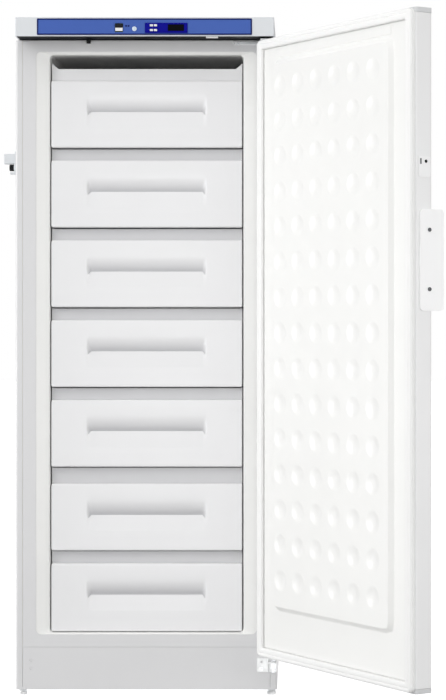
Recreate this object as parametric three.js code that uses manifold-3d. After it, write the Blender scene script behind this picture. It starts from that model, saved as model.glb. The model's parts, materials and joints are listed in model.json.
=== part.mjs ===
// Upright laboratory freezer with seven drawers behind one hinged, insulated door.
// Millimetres, +Z up, the front faces -Y. The door stands open, and it swings on +Z.
// Cabinet frame: x = 0 on the centre line, y = 0 on the front face, z = 0 on the floor.
import * as THREE from "three";
import { mergeVertices } from "three/addons/utils/BufferGeometryUtils.js";
import Module from "manifold-3d";

// ---- Driving dimensions -------------------------------------------------------------
const CABINET_WIDTH = 600;
const CABINET_DEPTH = 558.5;
const FOOT_HEIGHT = 15;
const BODY_TOP = 1503.5;
const SHEET = 1;
const GAP = 0.3; // left between pieces that touch
const FLANGE = 16; // front return of the side panels
const FRAME_BOTTOM = 112.5; // where the front frame meets the kick plate

const LINER_WALL = 2.5;
const OPENING_HALF = 222; // inside of the liner, each side of the centre line
const OPENING_BOTTOM = 145;
const OPENING_TOP = 1470;
const CAVITY_BACK = 445;
const BEVEL_OUT = 31; // how far the liner's front bevel spreads at each side
const BEVEL_DEPTH = 8;
const STEP_Y = 262; // the cavity floor steps up behind this, over the compressor bay
const STEP_TOP = 240;
const BAY_Y = 280;
const BAY_TOP = 215;

const DRAWERS = 7;
const TIER_PITCH = 183.4;
const TOP_FRONT_Z = 1412.4; // top edge of the uppermost drawer front
const WIDE_GAP = 9.2; // extra gap above the two lowest drawers
const WIDE_GAP_DRAWERS = 2;
const FRONT_HEIGHT = 154;
const BOTTOM_FRONT_HEIGHT = 156.3;
const FRONT_HALF = 219.5;
const FRONT_Y = 10;
const FRONT_DEPTH = 17.7;
const FRONT_WALL = 3;
const GRIP_HALF = 139;
const TUB_HALF = 219.3;
const TUB_WALL = 2.5;
const TUB_Y = 28;
const TUB_BACK = 430;
const SHORT_TUB_BACK = 255;
const BAND_RISE = 26.6; // tub front wall above the drawer front
const TOP_BAND_RISE = 28.5; // the uppermost drawer, with free space above it
const WIDE_BAND_RISE = 35.8; // where the gap above is wide
const RIM_RISE = 28.4; // tub side walls above the drawer front, where another front is close above
const TOP_RIM_RISE = 41;
const WIDE_RIM_RISE = 37.6;
const RIM_SLOPE = 1.2; // run for each unit of rise, from the front band up to the rim
const TUB_LIFT = 14; // tub floor above the bottom edge of its front
const SHELF = 6;

const DOOR_HALF = 298;
const DOOR_BOTTOM = 100;
const DOOR_TOP = 1495;
const DOOR_THICK = 42;
const DOOR_INNER_Y = -12; // inner steel face when the door is shut
const DOOR_OPEN_DEG = 123;
const HINGE_X = 292;
const HINGE_Y = -44.5;
const CAP_HEIGHT = 10;
const GASKET_WIDTH = 22;
const PANEL_HALF = 219; // raised field of the door liner
const PANEL_BOTTOM = 225;
const PANEL_TOP = 1431;
const PANEL_RISE = 14;
const PANEL_BEVEL = 11;
const DIMPLE_COLUMNS = 6;
const DIMPLE_ROWS = 15;
const DIMPLE_RADIUS = 25;
const DIMPLE_DEPTH = 2.2;
const DIMPLE_X = 191.5; // column nearest the hinge
const DIMPLE_PITCH_X = 71.5;
const DIMPLE_Z = 1382; // top row
const DIMPLE_PITCH_Z = 78.4;

const CONSOLE_HALF = 293.5;
const CONSOLE_Y = -56;
const CONSOLE_DEPTH = 290;
const CONSOLE_BOTTOM = 1505;
const CONSOLE_TOP = 1548;
const CONSOLE_WALL = 3;

const HANDLE_BOTTOM = 878;
const HANDLE_TOP = 1085;

// The part's own origin: on the floor, under the middle of everything, open door included.
const ORIGIN_X = 158.8;
const ORIGIN_Y = 0.5;

// ---- Solids -------------------------------------------------------------------------
const wasm = await Module();
wasm.setup();

const AXIS_X = new THREE.Vector3(1, 0, 0);
const AXIS_Y = new THREE.Vector3(0, 1, 0);
const AXIS_Z = new THREE.Vector3(0, 0, 1);
const ACROSS = new THREE.Matrix4().makeBasis(AXIS_Y, AXIS_Z, AXIS_X); // outline (y, z), along +X
const BACKWARD = new THREE.Matrix4().makeBasis(AXIS_X, AXIS_Z, AXIS_Y.clone().negate());

function solid(geometry) {
  const bare = geometry.index ? geometry.toNonIndexed() : geometry.clone();
  for (const name of Object.keys(bare.attributes)) {
    if (name !== "position") bare.deleteAttribute(name);
  }
  const merged = mergeVertices(bare, 1e-4);
  const vertProperties = merged.attributes.position.array;
  const triVerts = new Uint32Array(merged.index.array);
  return new wasm.Manifold(new wasm.Mesh({ numProp: 3, vertProperties, triVerts }));
}

function join(...solids) {
  return solids.reduce((whole, next) => whole.add(next));
}

function cut(whole, ...tools) {
  return tools.reduce((left, tool) => left.subtract(tool), whole);
}

function box(x0, x1, y0, y1, z0, z1) {
  const shape = new THREE.BoxGeometry(x1 - x0, y1 - y0, z1 - z0);
  return solid(shape.translate((x0 + x1) / 2, (y0 + y1) / 2, (z0 + z1) / 2));
}

// A box whose front rectangle (y0) and back rectangle (y1) have sizes of their own.
function taperedBox(front, back, y0, y1) {
  const shape = new THREE.BoxGeometry(2, 2, 2);
  const p = shape.attributes.position;
  for (let i = 0; i < p.count; i++) {
    const end = p.getY(i) < 0 ? front : back;
    const x = p.getX(i) < 0 ? end.x0 : end.x1;
    const z = p.getZ(i) < 0 ? end.z0 : end.z1;
    p.setXYZ(i, x, p.getY(i) < 0 ? y0 : y1, z);
  }
  return solid(shape);
}

function polygon(points) {
  return new THREE.Shape(points.map(([a, b]) => new THREE.Vector2(a, b)));
}

function roundedRect(a0, a1, b0, b1, r) {
  const s = new THREE.Shape();
  s.moveTo(a0 + r, b0);
  s.lineTo(a1 - r, b0);
  s.absarc(a1 - r, b0 + r, r, -Math.PI / 2, 0);
  s.lineTo(a1, b1 - r);
  s.absarc(a1 - r, b1 - r, r, 0, Math.PI / 2);
  s.lineTo(a0 + r, b1);
  s.absarc(a0 + r, b1 - r, r, Math.PI / 2, Math.PI);
  s.lineTo(a0, b0 + r);
  s.absarc(a0 + r, b0 + r, r, Math.PI, 1.5 * Math.PI);
  return s;
}

function extrude(shape, depth, curveSegments = 3) {
  return new THREE.ExtrudeGeometry(shape, { depth, bevelEnabled: false, curveSegments });
}

// Outline in (x, y), from z0 up to z1.
function upright(shape, z0, z1, curveSegments) {
  return solid(extrude(shape, z1 - z0, curveSegments).translate(0, 0, z0));
}

// Outline in (x, z), from y0 back to y1.
function facing(shape, y0, y1, curveSegments) {
  return solid(extrude(shape, y1 - y0, curveSegments).applyMatrix4(BACKWARD).translate(0, y1, 0));
}

// Outline in (y, z), from x0 to x1.
function across(shape, x0, x1, curveSegments) {
  return solid(extrude(shape, x1 - x0, curveSegments).applyMatrix4(ACROSS).translate(x0, 0, 0));
}

function rodAlong(axis, radius, from, to, at, sides = 16) {
  const rod = new THREE.CylinderGeometry(radius, radius, to - from, sides);
  const mid = (from + to) / 2;
  if (axis === "x") return solid(rod.rotateZ(Math.PI / 2).translate(mid, at[0], at[1]));
  if (axis === "y") return solid(rod.translate(at[0], mid, at[1]));
  return solid(rod.rotateX(Math.PI / 2).translate(at[0], at[1], mid));
}

function mirrorX(whole) {
  return whole.mirror([1, 0, 0]);
}

// ---- Scene graph --------------------------------------------------------------------
const COLOURS = {
  steel: [0xdcdcda, 0.42, 0.0],
  plastic: [0xf1f1ee, 0.35, 0.0],
  white: [0xf6f6f4, 0.3, 0.0],
  foam: [0xe9dfb4, 0.9, 0.0],
  grey: [0xb9bbbd, 0.5, 0.0],
  zinc: [0xc9ccd0, 0.3, 0.9],
  black: [0x1a1b1d, 0.45, 0.0],
  blue: [0x2f55b4, 0.35, 0.0],
  navy: [0x0c0f8f, 0.3, 0.0],
  copper: [0xb87333, 0.35, 0.9],
  green: [0x2c6b3c, 0.6, 0.0],
};

const freezer = new THREE.Group();
const cabinet = new THREE.Group();
const door = new THREE.Group();
cabinet.position.set(-ORIGIN_X, -ORIGIN_Y, 0);
door.position.set(HINGE_X, HINGE_Y, 0);
door.rotation.z = THREE.MathUtils.degToRad(DOOR_OPEN_DEG);
freezer.add(cabinet);
cabinet.add(door);

function place(group, name, colour, made) {
  const mesh = made.getMesh();
  const geometry = new THREE.BufferGeometry();
  geometry.setAttribute("position", new THREE.BufferAttribute(mesh.vertProperties, 3));
  geometry.setIndex(new THREE.BufferAttribute(mesh.triVerts, 1));
  geometry.computeVertexNormals();
  const [color, roughness, metalness] = COLOURS[colour];
  const material = new THREE.MeshStandardMaterial({ color, roughness, metalness });
  const node = new THREE.Mesh(geometry, material);
  node.name = name;
  group.add(node);
  return node;
}

// Door pieces are drawn with the door shut, in the cabinet frame, and turn on the hinge.
function placeOnDoor(name, colour, made) {
  place(door, name, colour, made.translate([-HINGE_X, -HINGE_Y, 0]));
}

// ---- Cabinet ------------------------------------------------------------------------
function cabinetShell() {
  const half = CABINET_WIDTH / 2;
  const r = 6;
  const side = new THREE.Shape();
  side.moveTo(-half + FLANGE, 0);
  side.lineTo(-half + FLANGE, SHEET);
  side.lineTo(-half + r, SHEET);
  side.absarc(-half + r, r, r - SHEET, -Math.PI / 2, Math.PI, true);
  side.lineTo(-half + SHEET, CABINET_DEPTH);
  side.lineTo(-half, CABINET_DEPTH);
  side.lineTo(-half, r);
  side.absarc(-half + r, r, r, Math.PI, 1.5 * Math.PI);
  side.lineTo(-half + FLANGE, 0);
  const left = upright(side, FOOT_HEIGHT, BODY_TOP, 4);
  const top = box(-half + SHEET / 2, half - SHEET / 2, r, CABINET_DEPTH, BODY_TOP - SHEET, BODY_TOP);
  const lip = box(-half + FLANGE, half - FLANGE, SHEET + GAP, r + 1, BODY_TOP - SHEET, BODY_TOP);
  return join(left, mirrorX(left), top, lip);
}

function frontFrame() {
  const half = CABINET_WIDTH / 2 - FLANGE - 0.5;
  const edge = OPENING_HALF + BEVEL_OUT;
  const outer = polygon([
    [-half, FRAME_BOTTOM + GAP],
    [half, FRAME_BOTTOM + GAP],
    [half, BODY_TOP - SHEET - 0.5],
    [-half, BODY_TOP - SHEET - 0.5],
  ]);
  const hole = roundedRect(-edge, edge, OPENING_BOTTOM - 3, OPENING_TOP + 7, 12);
  return cut(facing(outer, 0, SHEET), facing(hole, -1, SHEET + 1, 4));
}

function cavityOutline(grow) {
  return polygon([
    [BEVEL_DEPTH, OPENING_BOTTOM - grow],
    [STEP_Y + grow, OPENING_BOTTOM - grow],
    [STEP_Y + grow, STEP_TOP - grow],
    [CAVITY_BACK + grow, STEP_TOP - grow],
    [CAVITY_BACK + grow, OPENING_TOP + grow],
    [BEVEL_DEPTH, OPENING_TOP + grow],
  ]);
}

function cabinetLiner() {
  const out = OPENING_HALF + BEVEL_OUT;
  const shell = across(cavityOutline(LINER_WALL), -OPENING_HALF - LINER_WALL, OPENING_HALF + LINER_WALL);
  const collarY = SHEET + GAP;
  const collar = box(-out - 4, out + 4, collarY, collarY + 10, OPENING_BOTTOM - 6, OPENING_TOP + 11);
  const mouth = taperedBox(
    { x0: -out - 2, x1: out + 2, z0: OPENING_BOTTOM - 4, z1: OPENING_TOP + 9 },
    { x0: -OPENING_HALF, x1: OPENING_HALF, z0: OPENING_BOTTOM, z1: OPENING_TOP },
    collarY - 0.01,
    collarY + BEVEL_DEPTH,
  );
  const cavity = across(cavityOutline(0), -OPENING_HALF, OPENING_HALF);
  return cut(join(shell, collar), mouth, cavity);
}

function cabinetFoam() {
  const half = CABINET_WIDTH / 2 - SHEET - GAP;
  const back = CABINET_DEPTH - SHEET - GAP;
  const top = BODY_TOP - SHEET - GAP;
  const start = SHEET + GAP;
  const sill = FRAME_BOTTOM + GAP;
  const outline = polygon([
    [start, sill],
    [15, sill],
    [15, 60],
    [BAY_Y, 60],
    [BAY_Y, BAY_TOP],
    [back, BAY_TOP],
    [back, top],
    [start, top],
  ]);
  const room = LINER_WALL + GAP;
  const out = OPENING_HALF + BEVEL_OUT + 4 + GAP;
  const hollow = across(cavityOutline(room), -OPENING_HALF - room, OPENING_HALF + room);
  const collar = box(-out, out, 0, 11.7, OPENING_BOTTOM - 6 - GAP, OPENING_TOP + 11 + GAP);
  const block = across(outline, -half, half);
  const corner = box(-6, 6, -6, 6, 0, BODY_TOP + 1); // clears the rolled front edges
  const corners = [half, -half].map((x) => corner.translate([x, 0, 0]));
  return cut(block, hollow, collar, ...corners);
}

// Pressed cups at the left take the lower bracket's screws when the door is hung the other way.
const KICK_HOLE_Z = [64, 83];

function kickPlate() {
  const half = CABINET_WIDTH / 2 - FLANGE - 0.5;
  const z0 = FOOT_HEIGHT + GAP;
  const plate = box(-half, half, 0, SHEET, z0, FRAME_BOTTOM);
  const sill = box(-half, half, 0, 14, FRAME_BOTTOM - SHEET, FRAME_BOTTOM);
  const foot = box(-half, half, 0, 14, z0, z0 + SHEET);
  const cups = KICK_HOLE_Z.map((z) => rodAlong("y", 5, 0.5, 3, [-264, z], 12));
  const holes = KICK_HOLE_Z.map((z) => rodAlong("y", 3.5, -1, 2, [-264, z], 12));
  return cut(join(plate, sill, foot, ...cups), ...holes);
}

function baseTray() {
  const half = CABINET_WIDTH / 2 - SHEET - GAP;
  const z0 = FOOT_HEIGHT + 2;
  const back = CABINET_DEPTH - SHEET - GAP;
  const floor = box(-half, half, 15, back, z0, z0 + 1.5);
  const rails = [-half, half - 1.5].map((x) => box(x, x + 1.5, 15, back, z0, z0 + 30));
  return join(floor, ...rails);
}

function foot(x, y) {
  const profile = [
    [0, 0],
    [10.5, 0],
    [10.5, 6],
    [8, 10],
    [4, 10],
    [4, FOOT_HEIGHT + 1.7],
    [0, FOOT_HEIGHT + 1.7],
  ].map(([r, z]) => new THREE.Vector2(r, z));
  const turned = new THREE.LatheGeometry(profile, 16).rotateX(Math.PI / 2);
  return solid(turned.translate(x, y, 0));
}

function compressor() {
  const profile = [
    [0, 34],
    [62, 34],
    [78, 52],
    [82, 95],
    [80, 128],
    [66, 158],
    [36, 172],
    [0, 176],
  ].map(([r, z]) => new THREE.Vector2(r, z));
  const can = solid(new THREE.LatheGeometry(profile, 20).rotateX(Math.PI / 2).translate(140, 430, 0));
  const plate = box(50, 230, 350, 510, 22, 36);
  return join(can, plate);
}

// A flat serpentine of straight runs and half-round bends, standing in the compressor bay.
function condenser() {
  const runs = 5;
  const pitch = 32;
  const path = new THREE.CurvePath();
  for (let i = 0; i < runs; i++) {
    const z = 40 + i * pitch;
    const [a, b] = i % 2 ? [-20, -250] : [-250, -20];
    path.add(new THREE.LineCurve3(new THREE.Vector3(a, 500, z), new THREE.Vector3(b, 500, z)));
    if (i === runs - 1) break;
    const bulge = b + (i % 2 ? -20 : 20);
    path.add(
      new THREE.CubicBezierCurve3(
        new THREE.Vector3(b, 500, z),
        new THREE.Vector3(bulge, 500, z),
        new THREE.Vector3(bulge, 500, z + pitch),
        new THREE.Vector3(b, 500, z + pitch),
      ),
    );
  }
  const section = new THREE.Shape().absarc(0, 0, 4, 0, 2 * Math.PI);
  const settings = { steps: 90, curveSegments: 3, bevelEnabled: false, extrudePath: path };
  return solid(new THREE.ExtrudeGeometry(section, settings));
}

function rearGrille() {
  const half = CABINET_WIDTH / 2 - SHEET - GAP;
  const y0 = CABINET_DEPTH - SHEET;
  const sheet = box(-half, half, y0, CABINET_DEPTH, FOOT_HEIGHT + GAP, BAY_TOP - GAP);
  const slots = [];
  for (let column = 0; column < 3; column++) {
    for (let row = 0; row < 5; row++) {
      const x = -120 + column * 130;
      const z = 60 + row * 28;
      slots.push(box(x, x + 110, y0 - 1, CABINET_DEPTH + 1, z, z + 10));
    }
  }
  const inlet = box(-246.3, -203.7, y0 - 1, CABINET_DEPTH + 1, 103.7, 136.3);
  return cut(sheet, ...slots, inlet);
}

function powerInlet() {
  const body = box(-246, -204, 528, CABINET_DEPTH + 0.6, 104, 136);
  const flange = box(-250, -200, CABINET_DEPTH + GAP, CABINET_DEPTH + 2.5, 100, 140);
  const socket = box(-238, -212, 541, CABINET_DEPTH + 4, 110, 130);
  return cut(join(body, flange), socket);
}

// ---- Drawers, counted from the top --------------------------------------------------
function frontTop(i) {
  const low = i >= DRAWERS - WIDE_GAP_DRAWERS;
  return TOP_FRONT_Z - TIER_PITCH * i - (low ? WIDE_GAP : 0);
}

function isBottom(i) {
  return i === DRAWERS - 1;
}

function hasWideGap(i) {
  return i === DRAWERS - WIDE_GAP_DRAWERS;
}

function bandRise(i) {
  if (hasWideGap(i)) return WIDE_BAND_RISE;
  return i === 0 ? TOP_BAND_RISE : BAND_RISE;
}

function rimRise(i) {
  if (hasWideGap(i)) return WIDE_RIM_RISE;
  return i === 0 ? TOP_RIM_RISE : RIM_RISE;
}

function tubFloor(i) {
  return isBottom(i) ? OPENING_BOTTOM + 0.5 : frontTop(i) - FRONT_HEIGHT + TUB_LIFT;
}

function drawerTub(i) {
  const top = frontTop(i);
  const z0 = tubFloor(i);
  const z1 = top + rimRise(i);
  const band = top + bandRise(i);
  const run = (z1 - band) * RIM_SLOPE;
  const back = isBottom(i) ? SHORT_TUB_BACK : TUB_BACK;
  const inner = TUB_HALF - TUB_WALL;
  const outside = box(-TUB_HALF, TUB_HALF, TUB_Y, back, z0, z1);
  const inside = box(-inner, inner, TUB_Y + TUB_WALL, back - TUB_WALL, z0 + TUB_WALL, z1 + 1);
  const dip = polygon([
    [-TUB_HALF + run, band],
    [TUB_HALF - run, band],
    [TUB_HALF, z1],
    [TUB_HALF, z1 + 5],
    [-TUB_HALF, z1 + 5],
    [-TUB_HALF, z1],
  ]);
  const frontDip = facing(dip, TUB_Y - 1, TUB_Y + TUB_WALL + 0.5);
  const backDip = facing(dip, back - TUB_WALL - 0.5, back + 1);
  return cut(outside, inside, frontDip, backDip);
}

// The finger pocket scoops in above a lip that leans back a little, and runs down behind it.
function gripPocket(top, grow) {
  const y = FRONT_Y;
  const outline = polygon([
    [y - 3, top - 24 + grow],
    [y + 2 + grow * 0.4, top - 28 + grow],
    [y + 9 + grow, top - 44 + grow],
    [y + 13.5 + grow, top - 62],
    [y + 13.5 + grow, top - 92 - grow],
    [y + 6.5 - grow, top - 92 - grow],
    [y + 6.5 - grow, top - 79],
    [y + 3, top - 76],
    [y - 3, top - 75.5],
  ]);
  return across(outline, -GRIP_HALF - grow, GRIP_HALF + grow);
}

function drawerFront(i) {
  const top = frontTop(i);
  const z0 = top - (isBottom(i) ? BOTTOM_FRONT_HEIGHT : FRONT_HEIGHT);
  const back = FRONT_Y + FRONT_DEPTH;
  const face = roundedRect(-FRONT_HALF, FRONT_HALF, z0, top, 4);
  const half = FRONT_HALF - FRONT_WALL;
  const hollow = box(-half, half, FRONT_Y + FRONT_WALL, back + 1, z0 + FRONT_WALL, top - FRONT_WALL);
  const housing = cut(gripPocket(top, 2.5), box(-300, 300, 0, FRONT_Y + 1, z0 - 5, top + 5));
  const trimmed = cut(housing, box(-300, 300, back, back + 20, z0 - 5, top + 5));
  const shaved = polygon([
    [FRONT_Y - 1, top - 106],
    [FRONT_Y, top - 106],
    [FRONT_Y + 2.6, top - 76],
    [FRONT_Y - 1, top - 74],
  ]);
  const lean = across(shaved, -GRIP_HALF, GRIP_HALF);
  const shell = cut(facing(face, FRONT_Y, back, 2), hollow);
  return cut(join(shell, trimmed), gripPocket(top, 0), lean);
}

// Cold shelves between the drawers, joined by one riser at the back.
function evaporator() {
  const shelves = [];
  for (let i = 0; i < DRAWERS - 1; i++) {
    const z = tubFloor(i) - 0.5;
    shelves.push(box(-219, 219, 32, 438, z - SHELF, z));
  }
  const low = tubFloor(DRAWERS - 2) - SHELF;
  const riser = box(-30, 30, 434, 441, low, tubFloor(0) - 1);
  return join(...shelves, riser);
}

// ---- Control console ----------------------------------------------------------------
const MODULE = { x0: 1.1, x1: 97.4, z0: 1512.2, z1: 1534.9 };
const ROCKER = { x: -57.9, z: 1524, half: 9 };
const KEY = { x: -22.7, z: 1521.3 };
const BUTTON_X = [15.8, 24.9];
const BUTTON_Z = [1529.2, 1518.4];

function consoleCuts(grow) {
  const m = MODULE;
  const r = ROCKER;
  return [
    box(m.x0 - grow, m.x1 + grow, CONSOLE_Y - 5, CONSOLE_Y + 5, m.z0 - grow, m.z1 + grow),
    box(r.x - r.half - 0.4, r.x + r.half + 0.4, CONSOLE_Y - 5, CONSOLE_Y + 5, r.z - 10, r.z + 10),
    rodAlong("y", 4.5, CONSOLE_Y - 5, CONSOLE_Y + 5, [KEY.x, KEY.z], 16),
  ];
}

function controlHousing() {
  const back = CONSOLE_Y + CONSOLE_DEPTH;
  const w = CONSOLE_WALL;
  const outer = upright(roundedRect(-CONSOLE_HALF, CONSOLE_HALF, CONSOLE_Y, back, 2.5), CONSOLE_BOTTOM, CONSOLE_TOP);
  const inner = box(
    -CONSOLE_HALF + w,
    CONSOLE_HALF - w,
    CONSOLE_Y + w,
    back - w,
    CONSOLE_BOTTOM - 1,
    CONSOLE_TOP - w,
  );
  return cut(outer, inner, ...consoleCuts(0.6));
}

function fascia() {
  const face = roundedRect(-243.5, 243.5, 1507.7, 1545, 2);
  return cut(facing(face, CONSOLE_Y - 1.2, CONSOLE_Y - GAP), ...consoleCuts(GAP));
}

function displayModule() {
  const m = MODULE;
  const block = facing(roundedRect(m.x0, m.x1, m.z0, m.z1, 1.5), CONSOLE_Y - 2.5, CONSOLE_Y + 8);
  const tools = [box(52.7, 89.7, CONSOLE_Y - 4, CONSOLE_Y - 1.4, 1516.4, 1531.6)];
  for (const x of BUTTON_X) {
    for (const z of BUTTON_Z) {
      tools.push(box(x - 3.9, x + 3.9, CONSOLE_Y - 4, CONSOLE_Y + 9, z - 2.7, z + 2.7));
    }
  }
  return cut(block, ...tools);
}

function menuButton(x, z) {
  const face = roundedRect(x - 3.5, x + 3.5, z - 2.3, z + 2.3, 0.8);
  return facing(face, CONSOLE_Y - 4.2, CONSOLE_Y + 6, 2);
}

function powerSwitch() {
  const { x, z, half } = ROCKER;
  const outline = polygon([
    [CONSOLE_Y - 4.5, z + 8],
    [CONSOLE_Y - 2, z],
    [CONSOLE_Y - 1.5, z - 8],
    [CONSOLE_Y + 6, z - 5],
    [CONSOLE_Y + 6, z + 5],
  ]);
  return across(outline, x - half, x + half);
}

function keySwitch() {
  const knob = rodAlong("y", 5.2, CONSOLE_Y - 4, CONSOLE_Y - 1.5, [KEY.x, KEY.z], 20);
  const shaft = rodAlong("y", 4, CONSOLE_Y - 2, CONSOLE_Y + 10, [KEY.x, KEY.z], 16);
  const slot = box(KEY.x - 0.7, KEY.x + 0.7, CONSOLE_Y - 5, CONSOLE_Y - 2.4, KEY.z - 3, KEY.z + 3);
  return cut(join(knob, shaft), slot);
}

// ---- Hinges and lock ----------------------------------------------------------------
function lowerBracket() {
  const right = CABINET_WIDTH / 2 - 0.5;
  const plate = box(254, right, -3, -GAP, 56, 87);
  const tab = upright(roundedRect(279, right, -58, -GAP, 4), 84, 87);
  const gusset = across(polygon([[-2, 56], [-2, 86], [-50, 86], [-44, 82]]), 279, 281.5);
  const bore = rodAlong("z", 5.4, 80, 90, [HINGE_X, HINGE_Y]);
  const screw = rodAlong("y", 2.3, -4, 0, [264, 64], 12);
  const spare = rodAlong("y", 2.6, -4, 0, [264, 79], 12);
  return cut(join(plate, tab, gusset), bore, screw, spare);
}

function upperBracket() {
  const right = CABINET_WIDTH / 2 - 1;
  const arm = upright(roundedRect(262, right, -58, -GAP, 4), 1497, 1499.4);
  const rail = box(200, right, -3, -GAP, 1494, 1499.4);
  return cut(join(arm, rail), rodAlong("z", 5.4, 1490, 1505, [HINGE_X, HINGE_Y]));
}

function hingePin(z0, z1, headZ0, headZ1) {
  const shaft = rodAlong("z", 5, z0, z1, [HINGE_X, HINGE_Y], 20);
  const head = rodAlong("z", 7.5, headZ0, headZ1, [HINGE_X, HINGE_Y], 6);
  return join(shaft, head);
}

function screwFacing(x, z, y, radius) {
  const head = rodAlong("y", radius, y - 2.2, y - GAP, [x, z], 16);
  const slot = box(x - radius * 0.6, x + radius * 0.6, y - 3, y - 1.4, z - 0.5, z + 0.5);
  return cut(join(head, rodAlong("y", 2, y - 1, y + 2.6, [x, z], 12)), slot);
}

const LOCK = { y: 30, z: 1213 };

function lockPlate() {
  const side = -CABINET_WIDTH / 2 - GAP;
  const plate = across(roundedRect(8, 52, 1197, 1250, 8), side - 3, side);
  const ear = rodAlong("x", 7.5, side - 15, side - 2, [LOCK.y, 1205], 16);
  return join(plate, cut(ear, box(side - 20, side - 3, 0, 60, LOCK.z - 10, 1230)));
}

function lockBarrel() {
  const side = -CABINET_WIDTH / 2 - GAP - 3 - GAP;
  return rodAlong("x", 7.5, side - 13.5, side, [LOCK.y, LOCK.z], 20);
}

// A flat eye on the barrel, with a thick thumb block above it.
function lockLever() {
  const side = -CABINET_WIDTH / 2 - GAP - 3 - GAP;
  const { y, z } = LOCK;
  const block = across(roundedRect(y - 12, y + 12, z + 8.3, z + 32, 4), side - 25, side);
  const eye = rodAlong("x", 9.5, side - 3, side, [y, z], 20);
  const neck = box(side - 3, side, y - 8, y + 8, z + 2, z + 12);
  return cut(join(block, eye, neck), rodAlong("x", 7.8, side - 30, side + 1, [y, z], 20));
}

// ---- Door, drawn shut ---------------------------------------------------------------
function doorSkin() {
  const outer = DOOR_INNER_Y - DOOR_THICK;
  const r = 5;
  const lip = 18;
  const whole = roundedRect(-DOOR_HALF, DOOR_HALF, outer, DOOR_INNER_Y, r);
  const core = roundedRect(
    -DOOR_HALF + SHEET,
    DOOR_HALF - SHEET,
    outer + SHEET,
    DOOR_INNER_Y - SHEET,
    r - SHEET,
  );
  const z0 = DOOR_BOTTOM + CAP_HEIGHT + GAP;
  const z1 = DOOR_TOP - CAP_HEIGHT - GAP;
  const mouth = box(-DOOR_HALF + lip, DOOR_HALF - lip, DOOR_INNER_Y - 3, DOOR_INNER_Y + 1, z0 - 1, z1 + 1);
  return cut(upright(whole, z0, z1, 3), upright(core, z0 - 1, z1 + 1, 3), mouth);
}

function doorCap(z0) {
  const outer = DOOR_INNER_Y - DOOR_THICK - 0.5;
  const block = upright(
    roundedRect(-DOOR_HALF - 1, DOOR_HALF + 1, outer, DOOR_INNER_Y, 6),
    z0,
    z0 + CAP_HEIGHT,
    4,
  );
  return cut(block, rodAlong("z", 5.4, z0 - 1, z0 + CAP_HEIGHT + 1, [HINGE_X, HINGE_Y]));
}

function raisedField(inset, lift) {
  const half = PANEL_HALF - inset;
  const z0 = PANEL_BOTTOM + inset;
  const z1 = PANEL_TOP - inset;
  const wide = { x0: -half - PANEL_BEVEL, x1: half + PANEL_BEVEL, z0: z0 - PANEL_BEVEL, z1: z1 + PANEL_BEVEL };
  const crown = { x0: -half, x1: half, z0, z1 };
  return taperedBox(wide, crown, DOOR_INNER_Y + 2 + lift, DOOR_INNER_Y + PANEL_RISE + lift);
}

function linerPlate(y0, y1, trim) {
  const half = DOOR_HALF - GASKET_WIDTH - 2.5 - trim;
  const z0 = DOOR_BOTTOM + GASKET_WIDTH + 2.5 + trim;
  return box(-half, half, y0, y1, z0, DOOR_TOP - GASKET_WIDTH - 2.5 - trim);
}

function doorLiner() {
  const face = DOOR_INNER_Y + 4;
  const body = join(linerPlate(face - 3, face, 0), raisedField(0, 0));
  const hollow = raisedField(2.5, -3);
  const dimples = [];
  for (let row = 0; row < DIMPLE_ROWS; row++) {
    for (let column = 0; column < DIMPLE_COLUMNS; column++) {
      dimples.push(dimple(DIMPLE_X - column * DIMPLE_PITCH_X, DIMPLE_Z - row * DIMPLE_PITCH_Z));
    }
  }
  return cut(body, hollow, box(-400, 400, -40, face - 3, 0, 1600), wasm.Manifold.union(dimples));
}

function dimple(x, z) {
  const y = DOOR_INNER_Y + PANEL_RISE;
  const bowl = new THREE.CylinderGeometry(DIMPLE_RADIUS * 1.2, DIMPLE_RADIUS * 0.45, DIMPLE_DEPTH * 1.36, 8);
  return solid(bowl.translate(x, y - DIMPLE_DEPTH + DIMPLE_DEPTH * 0.68, z));
}

function doorFoam() {
  const back = DOOR_INNER_Y - DOOR_THICK + SHEET + GAP;
  const front = DOOR_INNER_Y - SHEET - GAP;
  const half = DOOR_HALF - 5;
  const z0 = DOOR_BOTTOM + CAP_HEIGHT + GAP;
  const slab = box(-half, half, back, front, z0, DOOR_TOP - CAP_HEIGHT - GAP);
  const step = linerPlate(front - 1, DOOR_INNER_Y + 0.7, 1);
  return join(slab, step, raisedField(3, -3 - GAP));
}

function doorGasket() {
  const y0 = DOOR_INNER_Y + GAP;
  const half = DOOR_HALF - 2;
  const z0 = DOOR_BOTTOM + 2;
  const z1 = DOOR_TOP - 2;
  const w = GASKET_WIDTH;
  const outer = { x0: -half, x1: half, z0, z1 };
  const crown = { x0: -half + 2, x1: half - 2, z0: z0 + 2, z1: z1 - 2 };
  const ring = join(box(-half, half, y0, -4, z0, z1), taperedBox(outer, crown, -4.01, -GAP));
  return cut(ring, box(-half + w, half - w, y0 - 1, 1, z0 + w, z1 - w));
}

function doorHandle() {
  const x0 = -DOOR_HALF - 4;
  const x1 = -DOOR_HALF - GAP;
  const far = DOOR_INNER_Y - 69;
  const near = DOOR_INNER_Y - 9.5;
  const plate = across(roundedRect(far, near, HANDLE_BOTTOM, HANDLE_TOP, 9), x0, x1);
  const grip = polygon([
    [x0, far],
    [x0 + 38, far],
    [x0 + 40, far + 2],
    [x0 + 40, far + 12],
    [x0 + 36, far + 12],
    [x0 + 36, far + 4.5],
    [x1, far + 4.5],
    [x1, far + 8],
    [x0, far + 8],
  ]);
  const bar = upright(grip, HANDLE_BOTTOM + 9, HANDLE_TOP - 9);
  const holes = [922, 1043].map((z) => rodAlong("x", 2.3, x0 - 1, x1 + 1, [DOOR_INNER_Y - 32, z], 12));
  return cut(join(plate, bar), ...holes);
}

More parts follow.
